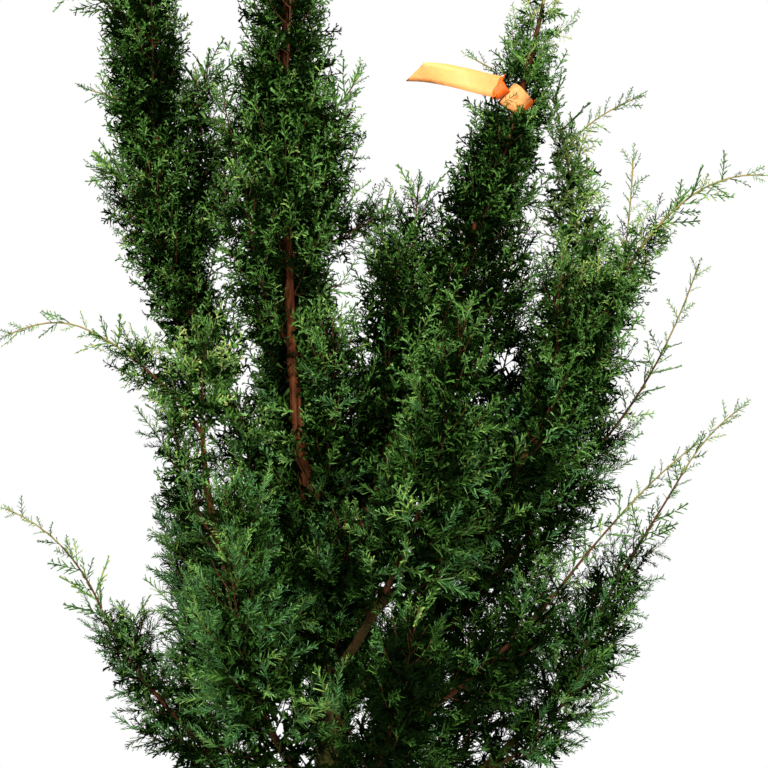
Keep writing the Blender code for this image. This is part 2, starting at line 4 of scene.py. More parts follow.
import bpy
import numpy as np
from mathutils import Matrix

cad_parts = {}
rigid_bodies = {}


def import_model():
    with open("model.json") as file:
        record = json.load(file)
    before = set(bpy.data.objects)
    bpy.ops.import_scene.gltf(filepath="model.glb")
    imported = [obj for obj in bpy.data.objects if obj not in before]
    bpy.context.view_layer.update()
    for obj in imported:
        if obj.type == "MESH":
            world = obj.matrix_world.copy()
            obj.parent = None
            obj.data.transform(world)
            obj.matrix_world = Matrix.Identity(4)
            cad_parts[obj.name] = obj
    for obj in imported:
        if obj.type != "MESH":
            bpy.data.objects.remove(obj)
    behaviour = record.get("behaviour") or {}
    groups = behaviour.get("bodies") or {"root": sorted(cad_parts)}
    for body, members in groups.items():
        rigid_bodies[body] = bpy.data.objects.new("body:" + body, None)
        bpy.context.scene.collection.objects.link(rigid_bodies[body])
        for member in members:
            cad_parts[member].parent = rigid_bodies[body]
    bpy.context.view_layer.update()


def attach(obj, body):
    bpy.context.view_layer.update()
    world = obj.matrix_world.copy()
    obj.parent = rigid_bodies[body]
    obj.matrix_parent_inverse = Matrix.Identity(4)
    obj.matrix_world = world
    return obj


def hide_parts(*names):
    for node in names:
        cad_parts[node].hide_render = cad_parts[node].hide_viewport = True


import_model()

# A Chinese juniper: an upright clump with long arching boughs, one of them tied with marking tape.
# Metres, +Z up, front towards -Y. Headings are degrees round +Z from +X, leans are from upright.

growthStep = 0.03  # length over which a centreline keeps its direction
goldenTurn = 137.5  # degrees between one twig and the next up the same stem
phases = 6.28  # a full turn in radians, from which random phases are drawn
eye = np.array((0.0686, -4.0, 0.7776))  # where the photo is taken from
chance = np.random.default_rng(41)

# The limbs of the CAD model, by the same rule. A limb leaves its parent at a share of its length,
# and leans, radii and reach are read at even stations. It is bare up to a share of its length, with a
# mass of foliage round the rest. sides are the masses below that: the shares between which they
# stand, the heading of the first, and the length, reach and lean of the largest. shoots stand out of
# the end mass: share, heading, leans and length.
limbs = {
    "trunk": dict(
        parent=None, at=0, heading=180, length=1.74, bare=0.82, leans=(0, 2, 9, 2.5, 0.5, -1, 0),
        radii=(0.029, 0.0225, 0.01, 0.0072, 0.0058, 0.0038, 0.001), reach=(0.06, 0.066, 0.052, 0.024),
        sides=dict(count=8, first=0.27, last=0.75, heading=175, length=0.31, reach=0.088, lean=42),
    ),
    "left_leader": dict(
        at=0.29, heading=150, length=1.24, bare=0.74, leans=(26, 36, 22, 10, 12, 8, 4),
        radii=(0.0115, 0.0098, 0.0082, 0.0068, 0.0055, 0.0038, 0.001), reach=(0.066, 0.068, 0.05, 0.024),
        sides=dict(count=5, first=0.32, last=0.68, heading=240, length=0.3, reach=0.084, lean=38),
        shoots=((0.1, 185, (60, 30), 0.11),),
    ),
    "right_leader": dict(
        at=0.232, heading=8, length=1.1, bare=0.81, leans=(16, 17, 24, 20, 19, 14, 2),
        radii=(0.013, 0.0112, 0.0092, 0.0074, 0.0058, 0.0042, 0.001), reach=(0.05, 0.05, 0.044, 0.024),
        sides=dict(count=5, first=0.13, last=0.62, heading=90, length=0.31, reach=0.09, lean=42),
    ),
    "right_plume": dict(
        parent="right_leader", at=0.07, heading=24, swing=-4, length=0.9, bare=0.46,
        leans=(66, 57, 47, 28, -1, -10, -14), radii=(0.007, 0.005, 0.003, 0.001),
        reach=(0.08, 0.088, 0.07, 0.028), shoots=((0.82, 5, (34, 48, 60, 66), 0.13),),
    ),
    "upper_right_bough": dict(
        parent="right_leader", at=0.03, heading=344, swing=-2, length=0.9, bare=0.66,
        leans=(64, 55, 45, 36, 28, 28, 32, 52, 94), radii=(0.0085, 0.0066, 0.0048, 0.0034, 0.0009),
        reach=(0.07, 0.05, 0.034, 0.014),
        sides=dict(count=2, first=0.36, last=0.54, heading=60, length=0.27, reach=0.09, lean=48),
        shoots=((0.18, 350, (8, 6, 2), 0.165),),
    ),
    "right_bough": dict(
        at=0.191, heading=357, swing=-3, length=0.815, bare=0.32, leans=(62, 55, 41, 38, 39, 27, 18),
        radii=(0.0074, 0.0056, 0.0038, 0.0008), reach=(0.095, 0.092, 0.06, 0.034, 0.024, 0.01),
    ),
    "low_right_bough": dict(
        at=0.14, heading=345, length=0.69, bare=0.26, leans=(57, 60, 48, 38, 42, 52),
        radii=(0.0068, 0.0052, 0.0036, 0.0008), reach=(0.095, 0.092, 0.05, 0.03, 0.022, 0.01),
    ),
    "lowest_right_bough": dict(
        at=0.075, heading=10, length=0.88, bare=0.43, leans=(73, 64, 52, 37, 26, 34, 31, 56),
        radii=(0.0072, 0.0056, 0.004, 0.0008), reach=(0.09, 0.084, 0.052, 0.032, 0.022, 0.01),
        sides=dict(count=2, first=0.13, last=0.27, heading=130, length=0.29, reach=0.096, lean=34),
    ),
    "left_bough": dict(
        at=0.165, heading=200, length=0.61, bare=0.79, leans=(44, 36, 28, 18, 8, 0, -9),
        radii=(0.0078, 0.0062, 0.0044, 0.001), reach=(0.08, 0.076, 0.036),
        sides=dict(count=2, first=0.24, last=0.5, heading=290, length=0.27, reach=0.088, lean=44),
    ),
    "left_shoot": dict(
        parent="left_bough", at=0.77, heading=188, length=0.33, bare=0, leans=(26, 42, 48, 54, 66, 98, 116),
        radii=(0.003, 0.0008), reach=(0.06, 0.056, 0.03, 0.012),
    ),
    "low_left_bough": dict(
        at=0.067, heading=190, length=0.68, bare=0.22, leans=(56, 50, 46, 42, 37, 22, 42, 68),
        radii=(0.0066, 0.005, 0.0034, 0.0008), reach=(0.095, 0.068, 0.036, 0.014),
    ),
    "front_left_bough": dict(
        at=0.105, heading=240, length=0.5, bare=0.25, leans=(66, 44, 22, 12), radii=(0.0062, 0.0046, 0.001),
        reach=(0.1, 0.104, 0.076, 0.026),
    ),
    "front_bough": dict(
        at=0.08, heading=290, length=0.5, bare=0.25, leans=(68, 50, 34, 26), radii=(0.006, 0.0044, 0.001),
        reach=(0.1, 0.104, 0.076, 0.026),
    ),
    "front_right_bough": dict(
        at=0.208, heading=306, swing=6, length=0.62, bare=0.26, leans=(52, 36, 22, 12),
        radii=(0.0068, 0.005, 0.001), reach=(0.098, 0.104, 0.08, 0.026),
    ),
    "back_right_bough": dict(
        at=0.174, heading=50, length=0.82, bare=0.38, leans=(58, 42, 24, 14), radii=(0.0074, 0.0056, 0.001),
        reach=(0.098, 0.104, 0.078, 0.026),
    ),
    "back_bough": dict(
        at=0.22, heading=98, length=0.84, bare=0.38, leans=(56, 38, 20, 8), radii=(0.0074, 0.0056, 0.001),
        reach=(0.098, 0.104, 0.078, 0.026),
    ),
    "back_left_bough": dict(
        at=0.104, heading=126, length=0.64, bare=0.34, leans=(66, 50, 32, 20), radii=(0.0066, 0.0048, 0.001),
        reach=(0.098, 0.102, 0.076, 0.024),
    ),
    "low_back_bough": dict(
        at=0.081, heading=68, length=0.58, bare=0.32, leans=(70, 56, 40, 30), radii=(0.006, 0.0044, 0.001),
        reach=(0.098, 0.1, 0.074, 0.024),
    ),
}
usual = dict(parent="trunk", swing=0, sides=None, shoots=())  # what a limb has unless its row says otherwise
limbs = {name: usual | row for name, row in limbs.items()}
# Side masses that leave the row's rule: share of the limb, heading, size and lean.
sidePlaces = {
    "trunk_foliage_5": (0.545, 2, 0.8, 40),
    "trunk_foliage_6": (0.6, 118, 0.78, 38),
    "left_leader_foliage_1": (0.32, 252, 0.88, 26),
    "left_leader_foliage_3": (0.5, 130, 0.84, 30),
    "right_leader_foliage_2": (0.275, 227, 0.95, 42),
    "right_leader_foliage_4": (0.405, 168, 0.78, 46),
    "left_bough_foliage_2": (0.5, 216, 0.8, 24),
    "lowest_right_bough_foliage_2": (0.26, 322, 0.8, 34),
}
sideShrink = 0.3  # how much smaller the last side mass of a limb is than the first
sideLeans = (1.0, 0.5, 0.25, 0.1)  # shares of a side stem's first lean, at stations along it
sideReach = (0.72, 1.0, 0.86, 0.42)  # shares of a side mass's reach, the same way
sideRadius = 0.0036
rising = 1.2  # how strongly a side stem turns upright
shootReach = (0.03, 0.02, 0.012)
shootRadius = 0.0014


# The same directions, one long.
def unit(vectors):
    return vectors / np.linalg.norm(vectors, axis=-1, keepdims=True)


# What even stations say at a share of the way along them, on straight lines between.
def readAt(stations, share):
    return np.interp(share, np.linspace(0, 1, len(stations)), stations)


# The direction of a heading and a lean from upright.
def way(heading, lean):
    turn, tilt = np.radians(heading), np.radians(lean)
    return np.stack([np.sin(tilt) * np.cos(turn), np.sin(tilt) * np.sin(turn), np.cos(tilt)], -1)


# The points that steps lead to, one after another.
def walked(start, steps):
    return np.vstack([start, start + np.cumsum(steps, axis=0)])


# The middles of a length's equal steps, as shares of it.
def middles(length):
    count = max(3, round(length / growthStep))
    return (np.arange(count) + 0.5) / count


# A centreline in equal steps, whose heading swings evenly and whose lean is read at each.
def grow(start, heading, swing, leans, length):
    shares = middles(length)
    steps = way(heading + swing * shares, readAt(leans, shares)) * length / len(shares)
    return walked(start, steps)


# A side stem leaves its limb at a lean that dies away, while it turns upright beside the limb.
def growSide(start, ahead, heading, lean, length):
    out = way(heading, 90)
    out = unit(out - ahead * (out @ ahead))
    shares = middles(length)
    tilt = np.radians(lean * readAt(sideLeans, shares))[:, None]
    upward = unit(ahead + np.outer(rising * shares, (0, 0, 1)))
    return walked(start, unit(upward * np.cos(tilt) + out * np.sin(tilt)) * length / len(shares))


# The place and direction at a share of a centreline, on the straight line between its points.
def pointAt(path, share):
    spot = share * (len(path) - 1)
    low = min(int(spot), len(path) - 2)
    step = path[low + 1] - path[low]
    return path[low] + step * (spot - low), unit(step)


# The length of a centreline, summed over its steps.
def lengthOf(path):
    return np.linalg.norm(np.diff(path, axis=0), axis=1).sum()


# Places and directions along a centreline, on a Catmull-Rom curve through its points.
def along(path, shares):
    spots = np.clip(shares, 0, 1) * (len(path) - 1)
    low = np.minimum(spots.astype(int), len(path) - 2)
    t = (spots - low)[:, None]
    ends = np.vstack([2 * path[0] - path[1], path, 2 * path[-1] - path[-2]])
    a, b, c, d = (ends[low + i] for i in range(4))
    bend, turn = 2 * a - 5 * b + 4 * c - d, 3 * b - a - 3 * c + d
    places = 0.5 * (2 * b + (c - a) * t + bend * t**2 + turn * t**3)
    return places, unit(c - a + 2 * bend * t + 3 * turn * t**2)


# Two directions square to each of these, started from the axis that they run along least.
def squareTo(aheads):
    axis = np.eye(3)[np.abs(aheads.reshape(-1, 3)).mean(0).argmin()]
    side = unit(np.cross(aheads, axis))
    return side, np.cross(side, aheads)


# Directions square to these, at turns round them.
def aside(aheads, turns):
    side, up = squareTo(aheads)
    return side * np.cos(turns)[..., None] + up * np.sin(turns)[..., None]


# The centreline of each limb, grown from its place on its parent's.
def limbPaths():
    paths = {}
    for name, limb in limbs.items():
        start = pointAt(paths[limb["parent"]], limb["at"])[0] if limb["parent"] else np.zeros(3)
        paths[name] = grow(start, limb["heading"], limb["swing"], limb["leans"], limb["length"])
    return paths


# What each mass grows from. Side masses stand at even shares and golden turns up a limb and get
# smaller evenly. The end mass has the last stretch of the limb as its stem.
def massRows(paths):
    rows = {}
    for name, limb in limbs.items():
        side = limb["sides"]
        for i in range(side["count"] if side else 0):
            step, label = i / max(side["count"] - 1, 1), f"{name}_foliage_{i + 1}"
            share = side["first"] + (side["last"] - side["first"]) * step
            rule = share, side["heading"] + goldenTurn * i, 1 - sideShrink * step, side["lean"]
            share, turn, size, tilt = sidePlaces.get(label, rule)
            start, ahead = pointAt(paths[name], share)
            rows[label] = dict(
                limb=name, stem=growSide(start, ahead, turn, tilt, side["length"] * size), radius=sideRadius,
                reach=[side["reach"] * size * part for part in sideReach], shoots=[],
            )
        count = max(2, round(lengthOf(paths[name]) * (1 - limb["bare"]) / growthStep))
        stations = np.linspace(limb["bare"], 1, count + 1)
        stem = np.array([pointAt(paths[name], share)[0] for share in stations])
        rows[name + ("_tip" if side else "_foliage")] = dict(
            limb=name, stem=stem, radius=readAt(limb["radii"], limb["bare"]), reach=limb["reach"],
            shoots=[grow(pointAt(stem, share)[0], heading, 0, leans, length)
                    for share, heading, leans, length in limb["shoots"]],
        )
    return rows


# A new object in the scene.
def addObject(name, data):
    made = bpy.data.objects.new(name, data)
    bpy.context.scene.collection.objects.link(made)
    return made


# One object from parts, each with points, faces and a material's number for each face.
def meshPiece(name, parts, materials, smooth=False):
    points, faces, slots = zip(*parts)
    starts = np.cumsum([0] + [len(one) for one in points])
    faces = np.concatenate([one + start for one, start in zip(faces, starts)])
    points, slots = np.concatenate(points), np.concatenate(slots)
    mesh = bpy.data.meshes.new(name)
    mesh.vertices.add(len(points))
    mesh.vertices.foreach_set("co", points.astype(np.float32).ravel())
    mesh.loops.add(faces.size)
    mesh.loops.foreach_set("vertex_index", faces.astype(np.int32).ravel())
    mesh.polygons.add(len(faces))
    mesh.polygons.foreach_set("loop_start", np.arange(0, faces.size, faces.shape[1], dtype=np.int32))
    for one in materials:
        mesh.materials.append(one)
    mesh.polygons.foreach_set("material_index", slots.astype(np.int32))
    mesh.update(calc_edges=True)
    if smooth:
        mesh.shade_smooth()
    return addObject(name, mesh)


# Slivers of two triangles: each runs from an edge across its root to an edge across its tip, which
# is turned square to the first, so it looks about as wide from any side.
def slivers(roots, tips, turns, widths):
    side, up = squareTo(unit(tips - roots))
    cos, sin, half = np.cos(turns)[:, None], np.sin(turns)[:, None], widths[:, None] / 2
    first, last = (side * cos + up * sin) * half, (up * cos - side * sin) * half * sliverTaper
    points = np.stack([roots - first, roots + first, tips - last, tips + last], 1)
    faces = np.array([(0, 1, 2), (1, 3, 2)])
    return points.reshape(-1, 3), (faces + 4 * np.arange(len(roots))[:, None, None]).reshape(-1, 3)


sliverTaper = 0.75  # width of a sliver at its tip, as a share of that at its root
# Kinds of spray, in metres at full size: the twiglets that stand off its axis, the first one's
# length as a share of the spray, how they spread, how flat the spray is and how many spurs each has.
sprayKinds = {
    "needled": dict(length=0.048, twiglets=26, first=0.36, spread=40, flat=0.2, spurs=0, width=0.0019),
    "scaled": dict(length=0.038, twiglets=8, first=0.46, spread=46, flat=0.4, spurs=2, width=0.0025),
    "open": dict(length=0.042, twiglets=9, first=0.34, spread=42, flat=0.7, spurs=1, width=0.0024),
    "inner": dict(length=0.034, twiglets=9, first=0.7, spread=54, flat=0.1, spurs=0, width=0.0056),
}
needled, scaled, openKind, inner = range(len(sprayKinds))
variants = 5  # shapes of each kind
# The axis of a spray, its twiglets and their spurs, as shares of its length or of the twiglet's.
axis = dict(sway=0.16, ripple=0.03, ripples=5, stretch=(0.06, 0.94), shift=0.02, end=1.04, pieces=3, width=1.1)
twiglet = dict(turn=90, spread=14, shorter=0.58, sizes=(0.72, 1.2))
spur = dict(
    first=0.3, step=0.32, shift=0.07, turn=0.7, ahead=0.8, aside=0.6, length=0.52, sizes=(0.7, 1.2), width=0.9
)


# Random numbers up to this far either way.
def stray(far, count):
    return chance.uniform(-far, far, count)


# One spray along +X: an axis that bends a little, with twiglets on alternate sides that shorten
# towards its tip, and spurs that fork off them. The last thing given back is how many steps lighter
# than its spray each triangle is.
def sprayShape(kind):
    count, length, width = kind["twiglets"], kind["length"], kind["width"]
    sway = stray(axis["sway"], 2)
    share = np.linspace(*axis["stretch"], count) + stray(axis["shift"], count)

    def axisAt(u):
        ripple = axis["ripple"] * np.sin(axis["ripples"] * u)
        return np.stack([u, sway[0] * u**2, sway[1] * u**2 + ripple], -1) * length

    roots = axisAt(share)
    around = np.pi * np.arange(count) + np.radians(stray(twiglet["turn"], count)) * (1 - kind["flat"])
    spread = np.radians(kind["spread"] + stray(twiglet["spread"], count))
    out = np.stack([np.zeros(count), np.cos(around), np.sin(around)], -1)
    ahead = np.cos(spread)[:, None] * np.array([1.0, 0, 0]) + np.sin(spread)[:, None] * out
    long = length * kind["first"] * (1 - twiglet["shorter"] * share) * chance.uniform(*twiglet["sizes"], count)
    tips = roots + ahead * long[:, None]
    parts = [(roots, tips, np.full(count, width), chance.choice((-1, 0, 0, 1), count))]
    for i in range(kind["spurs"]):
        at = spur["first"] + spur["step"] * i + stray(spur["shift"], count)
        turn = around + np.pi * i + stray(spur["turn"], count)
        fork = unit(ahead * spur["ahead"] + aside(ahead, turn) * spur["aside"])
        start = roots + (tips - roots) * at[:, None]
        end = start + fork * (long * spur["length"] * chance.uniform(*spur["sizes"], count))[:, None]
        parts.append((start, end, np.full(count, width * spur["width"]), chance.choice((0, 0, 1), count)))
    pieces = axis["pieces"]
    ends = axisAt(np.linspace(0, axis["end"], pieces + 1))
    parts.append((ends[:-1], ends[1:], np.full(pieces, width * axis["width"]), np.full(pieces, -1)))
    roots, tips, widths, lift = (np.concatenate(one) for one in zip(*parts))
    points, faces = slivers(roots, tips, chance.uniform(0, np.pi, len(roots)), widths)
    return points, faces, np.repeat(lift, 2)


# Twigs up a stem, or up a bare shoot, where fewer are kept. They spread less at the tip, and they
# straighten and rise.
twigRule = dict(
    step=0.0082, shootStep=0.006, first=0.02, along=0.97, kept=0.85, turn=14, spread=64, closing=26, stray=9,
    straighter=0.45, rise=0.25, stations=5, radius=0.0011,
)
# Twigs are longer and shorter by turns round a stem and up it, which makes lobes and hollows. The
# height is that of a lobe over 2 pi.
lobes = dict(height=0.014, twist=1.4, slant=0.5, around=2, middle=0.87, swing=0.28, chance=0.11)
# How long the twigs of the slimmest masses are beside others.
slim = {
    "left_bough_tip": 0.84, "left_shoot_foliage": 0.84, "right_plume_foliage": 0.84,
    "upper_right_bough_tip": 0.8, "low_left_bough_foliage": 0.86, "low_right_bough_foliage": 0.86,
    "lowest_right_bough_tip": 0.86,
}
# Sprays on a twig: where they stand, how they tilt, the reach for full size, and the mood that
# whole twigs and stems share, which is how light they are.
sprayRule = dict(
    step=0.007, first=0.12, along=0.84, last=0.98, tilt=46, endTilt=6, stray=10, full=0.085, least=0.55,
    sizes=(0.78, 1.18), twigMood=0.14, stemMood=0.07,
)
# Where less than this reach is left, open sprays stand on the stem itself, as long as a share of
# the reach. One more closes each stem.
openRule = dict(reach=0.044, long=1.35, least=0.026, sizes=(0.6, 1.2), endShare=0.97, endSize=0.6)
# Inner sprays, within a share of the reach, and the rule for those round the stem itself. Their dark tone is
# painted shade, the shadow deep in a mass.
innerRule = dict(depth=0.26, full=0.075, step=0.0065, along=0.96, offs=(0.05, 0.4), leans=(-0.3, 1), most=1.05)
needledBelow = 0.66  # height under which the foliage is mostly needled


# Adds sprays to a list. A single value is that of them all.
def addSprays(sprays, roots, ahead, **values):
    sprays.append(dict(roots=roots, ahead=ahead, **{key: np.full(len(roots), values[key]) for key in values}))


# Twigs at golden turns up a stem, each curving from its spread up towards the light, and sprays at
# golden turns up each twig, one more at its end.
def growTwigs(row, stem, reach, sprays, twigs):
    full = reach[0] >= openRule["reach"]
    count = max(3, round(lengthOf(stem) / twigRule["step" if full else "shootStep"]))
    shares = twigRule["first"] + twigRule["along"] * (np.arange(count) + 0.5) / count
    far = readAt(reach, shares)
    keep = chance.random(count) < np.clip(far / openRule["reach"], twigRule["kept"], 1)
    shares, far, count = shares[keep], far[keep], int(keep.sum())
    centres, aheads = along(stem, shares)
    turns = np.radians(chance.uniform(0, 360) + goldenTurn * np.arange(count) + stray(twigRule["turn"], count))
    out = aside(aheads, turns)
    spread = np.radians(twigRule["spread"] - twigRule["closing"] * shares + stray(twigRule["stray"], count))
    climb = shares * lengthOf(stem) / lobes["height"] + chance.uniform(0, phases)
    wave = np.sin(climb + lobes["twist"] * np.sin(turns))
    wave = wave * np.cos(lobes["around"] * turns + lobes["slant"] * climb)
    length = far * (lobes["middle"] + lobes["swing"] * wave + lobes["chance"] * stray(1, count)) * row["slim"]
    stations = twigRule["stations"]
    steps = np.linspace(0, 1, stations)
    lean = (spread[:, None] * (1 - twigRule["straighter"] * steps))[..., None]
    heading = aheads[:, None] * np.cos(lean) + out[:, None] * np.sin(lean)
    heading = unit(heading + twigRule["rise"] * steps[:, None] * np.array([0, 0, 1.0]))
    paths = centres[:, None] + np.cumsum(heading, 1) * (length / stations)[:, None, None]
    paths = np.concatenate([centres[:, None], paths], 1)
    sparse = far < openRule["reach"]
    if not sparse.all():
        twigs.append(dict(paths=paths[~sparse], young=row["young"]))
    many = np.where(sparse, 1, np.maximum(2, np.round(length / sprayRule["step"]))).astype(int)
    owner = np.repeat(np.arange(count), many)
    onStem, room = sparse[owner], far[owner]
    place = np.arange(len(owner)) - np.repeat(np.cumsum(many) - many, many)
    ending = (place == many[owner] - 1) & ~onStem
    share = sprayRule["first"] + sprayRule["along"] * (place + 0.5) / many[owner]
    share = np.where(onStem, 0.0, np.where(ending, sprayRule["last"], share))
    spot = share * stations
    low = np.minimum(spot.astype(int), stations - 1)
    roots = paths[owner, low] + (paths[owner, low + 1] - paths[owner, low]) * (spot - low)[:, None]
    ahead = heading[owner, low]
    turn = np.radians(goldenTurn * place + chance.uniform(0, 360, count)[owner])
    tilt = np.where(ending | onStem, sprayRule["endTilt"], sprayRule["tilt"])
    tilt = np.radians(tilt + stray(sprayRule["stray"], len(owner)))[:, None]
    ahead = unit(ahead * np.cos(tilt) + aside(ahead, turn) * np.sin(tilt))
    depth = np.where(onStem, 1.0, share * (length / far)[owner])
    size = np.clip(room / sprayRule["full"], sprayRule["least"], 1.0)
    size = size * chance.uniform(*sprayRule["sizes"], len(owner))
    openSize = np.maximum(room * openRule["long"], openRule["least"])
    openSize = openSize * chance.uniform(*openRule["sizes"], len(owner))
    size = np.where(onStem, openSize / sprayKinds["open"]["length"], size)
    within = ~onStem & (depth < innerRule["depth"])
    size = np.where(within, np.minimum(size, room / innerRule["full"]), size)
    mood = sprayRule["twigMood"] * chance.standard_normal(count)[owner]
    mood = mood + sprayRule["stemMood"] * chance.standard_normal()
    addSprays(sprays, roots, ahead, size=size, depth=depth, open=onStem, mood=mood, young=row["young"])
    last, ahead = along(stem, np.array([openRule["endShare"]]))
    addSprays(sprays, last, ahead, size=openRule["endSize"], depth=1.0, open=True, mood=0.0, young=row["young"])


# Sprays round a stem, which close the view through a mass; their dark tone is painted shade.
def fillStem(row, stem, reach, sprays):
    shares = chance.uniform(0, innerRule["along"], round(lengthOf(stem) / innerRule["step"]))
    far = readAt(reach, shares)
    shares, far = shares[far > openRule["reach"]], far[far > openRule["reach"]]
    count = len(shares)
    if not count:
        return
    centres, aheads = along(stem, shares)
    out = aside(aheads, chance.uniform(0, 2 * np.pi, count))
    roots = centres + out * (far * chance.uniform(*innerRule["offs"], count))[:, None]
    ahead = unit(out + aheads * chance.uniform(*innerRule["leans"], count)[:, None])
    size = np.minimum(far / sprayRule["full"], innerRule["most"])
    addSprays(sprays, roots, ahead, size=size, depth=0.0, open=False, mood=0.0, young=row["young"])


# The material of a twig or leaf tone, all over one colour.
def tone(name, colour, roughness=0.6, gloss=0.15):
    made = bpy.data.materials.new(name)
    made.use_nodes = True
    shader = made.node_tree.nodes["Principled BSDF"]
    shader.inputs["Base Color"].default_value = (*colour, 1)
    shader.inputs["Roughness"].default_value = roughness
    shader.inputs["Specular IOR Level"].default_value = gloss
    return made


# Leaf tones. Deep, dark, mid and light are one green painted in shade and in light; blue, young and straw are
# colours of the foliage itself, and young and open sprays also take the lighter tones as their own colour.
leafTones = [
    tone("leafDeep", (0.0035, 0.0095, 0.0018), gloss=0.0),
    tone("leafDark", (0.023, 0.064, 0.009), gloss=0.03),
    tone("leafMid", (0.062, 0.15, 0.022), gloss=0.08),
    tone("leafBlue", (0.056, 0.158, 0.046), gloss=0.08),
    tone("leafLight", (0.115, 0.24, 0.06), gloss=0.1),
    tone("leafYoung", (0.22, 0.34, 0.068), gloss=0.1),
    tone("leafStraw", (0.38, 0.39, 0.13), gloss=0.1),
]
deep, dark, mid, blue, pale, fresh, straw = range(len(leafTones))
# The tone one step darker than each, the tone itself, and the tone one step lighter.
toneSteps = np.array([
    (deep, deep, deep), (deep, dark, mid), (dark, mid, pale), (dark, blue, pale), (mid, pale, fresh),
    (pale, fresh, straw), (fresh, straw, straw),
])


# Painted light and painted shade: where sprays are painted lighter or darker. Each patch gives its middle and
# half widths across and up, and how much light is painted on, or taken away as painted shade where the amount
# is less than nothing.
paintedLightPatches = (
    ((0.1, 0.35), (0.085, 0.14), -0.48), ((-0.24, 0.38), (0.14, 0.17), 0.24),
    ((0.287, 1.28), (0.06, 0.09), 0.35), ((0.319, 1.105), (0.05, 0.11), 0.45),
    ((0.196, 0.91), (0.1, 0.14), -0.26),
)
# A spray's light is painted: it is how far out the spray stands, so that sprays deep in a mass are painted in
# shade, with its mood, the painted light and shade of the patches and some noise. From the two levels on it is
# dark and mid, or blue low down. Each rule gives a tone to a share of the sprays of a group that have more than
# some painted light; the pale tone on the most lit sprays is painted light.
noise = dict(light=0.2, blue=0.12, needled=0.1)
levels = (0.4, 0.74)
anyLight = -np.inf
toneRules = (
    # painted light: the pale tone on a share of the sprays with the most painted light
    ("all", 0.85, 0.34, pale),
    ("young", 0.3, 0.85, pale), ("young", 0.3, 0.5, fresh), ("young", 0.95, 0.3, straw),
    ("open", anyLight, 1.0, mid), ("open", anyLight, 0.5, pale), ("open", anyLight, 0.12, fresh),
    # painted shade: the inner sprays take the deep and dark tones
    ("inner", anyLight, 1.0, deep), ("inner", 0.15, 0.6, dark),
    ("innerYoung", anyLight, 1.0, dark), ("innerYoung", anyLight, 0.5, mid),
)


# The tone of each spray, by the levels and rules above.
def tonesOf(sprays):
    height, within = sprays["roots"][:, 2], sprays["kind"] == inner
    paintedLight = sprays["depth"] + sprays["mood"] + noise["light"] * chance.standard_normal(len(height))
    # The patches add painted light, or painted shade where their amount is less than nothing.
    for middle, wide, light in paintedLightPatches:
        away = (sprays["roots"][:, ::2] - middle) / wide
        paintedLight += light * np.exp(-(away**2).sum(1))
    picked = np.digitize(paintedLight, levels)
    low = height < needledBelow + noise["blue"] * chance.standard_normal(len(height))
    picked = np.where((picked == mid) & low, blue, picked)
    draw = chance.random(len(height))
    groups = dict(
        all=np.ones(len(height), bool), young=sprays["young"], open=sprays["open"], inner=within,
        innerYoung=within & sprays["young"],
    )
    for group, light, share, given in toneRules:
        picked = np.where(groups[group] & (paintedLight > light) & (draw < share), given, picked)
    return picked


# The kind of each spray: needled low down and scaled above, apart from inner and open ones.
def kindsOf(sprays):
    height = sprays["roots"][:, 2] + noise["needled"] * chance.standard_normal(len(sprays["depth"]))
    kinds = np.where(height < needledBelow, needled, scaled)
    kinds = np.where(sprays["depth"] < innerRule["depth"], inner, kinds)
    return np.where(sprays["open"], openKind, kinds)


# All the sprays of a region as one mesh: copies of the shapes, turned and set by arrays.
def joinSprays(name, sprays, shapes):
    ahead = sprays["ahead"]
    edge = aside(ahead, chance.uniform(0, 2 * np.pi, len(ahead)))
    turned = np.stack([ahead, edge, np.cross(ahead, edge)], 1) * sprays["size"][:, None, None]
    which = sprays["kind"] * variants + chance.integers(0, variants, len(ahead))
    parts = []
    for i, (shape, triangles, lift) in enumerate(shapes):
        copies = np.flatnonzero(which == i)
        points = sprays["roots"][copies, None] + np.einsum("vk,nkj->nvj", shape, turned[copies])
        faces = triangles[None] + (np.arange(len(copies)) * len(shape))[:, None, None]
        slots = toneSteps[sprays["tone"][copies][:, None], lift[None] + 1]
        parts.append((points.reshape(-1, 3), faces.reshape(-1, 3), slots.ravel()))
    return meshPiece(name, parts, leafTones)


# The faces between rings of points, one ring after another, and from the last to the first of a
# closed tube.
def tubeFaces(stations, sides, closed=False):
    starts = np.arange(stations if closed else stations - 1)[:, None] * sides
    a, b = starts + np.arange(sides), starts + (np.arange(sides) + 1) % sides
    return np.stack([a, b, b + sides, a + sides], -1).reshape(-1, 4) % (stations * sides)


# Tubes along centrelines with equal numbers of points, and the radius at each point.
def tubes(paths, radii, sides):
    count, stations = paths.shape[:2]
    ring = aside(unit(np.gradient(paths, axis=1))[:, :, None], 2 * np.pi * np.arange(sides) / sides)
    points = paths[:, :, None] + ring * radii[None, :, None, None]
    faces = tubeFaces(stations, sides)[None] + (np.arange(count) * stations * sides)[:, None, None]
    return points.reshape(-1, 3), faces.reshape(-1, 4)


paths = limbPaths()
rows = massRows(paths)
youngMasses = (
    "left_bough_tip", "left_shoot_foliage", "right_plume_foliage", "upper_right_bough_tip", "right_leader_tip"
)
# The pieces that the foliage is joined into: the limbs of each, and on the trunk where its stems
# start.
regions = {
    "lowerMiddleFoliage": dict(members=("trunk",), top=0.95),
    "upperMiddleFoliage": dict(members=("trunk",), bottom=0.95),
    "leftLeaderFoliage": dict(members=("left_leader",)),
    "rightLeaderFoliage": dict(members=("right_leader",)),
    "upperRightFoliage": dict(members=("right_plume", "upper_right_bough")),
    "lowerRightFoliage": dict(members=("right_bough", "low_right_bough", "lowest_right_bough")),
    "leftFoliage": dict(members=("left_bough", "left_shoot", "low_left_bough", "front_left_bough")),
    "frontFoliage": dict(members=("front_bough", "front_right_bough")),
    "backFoliage": dict(members=("back_right_bough", "back_bough", "back_left_bough", "low_back_bough")),
}
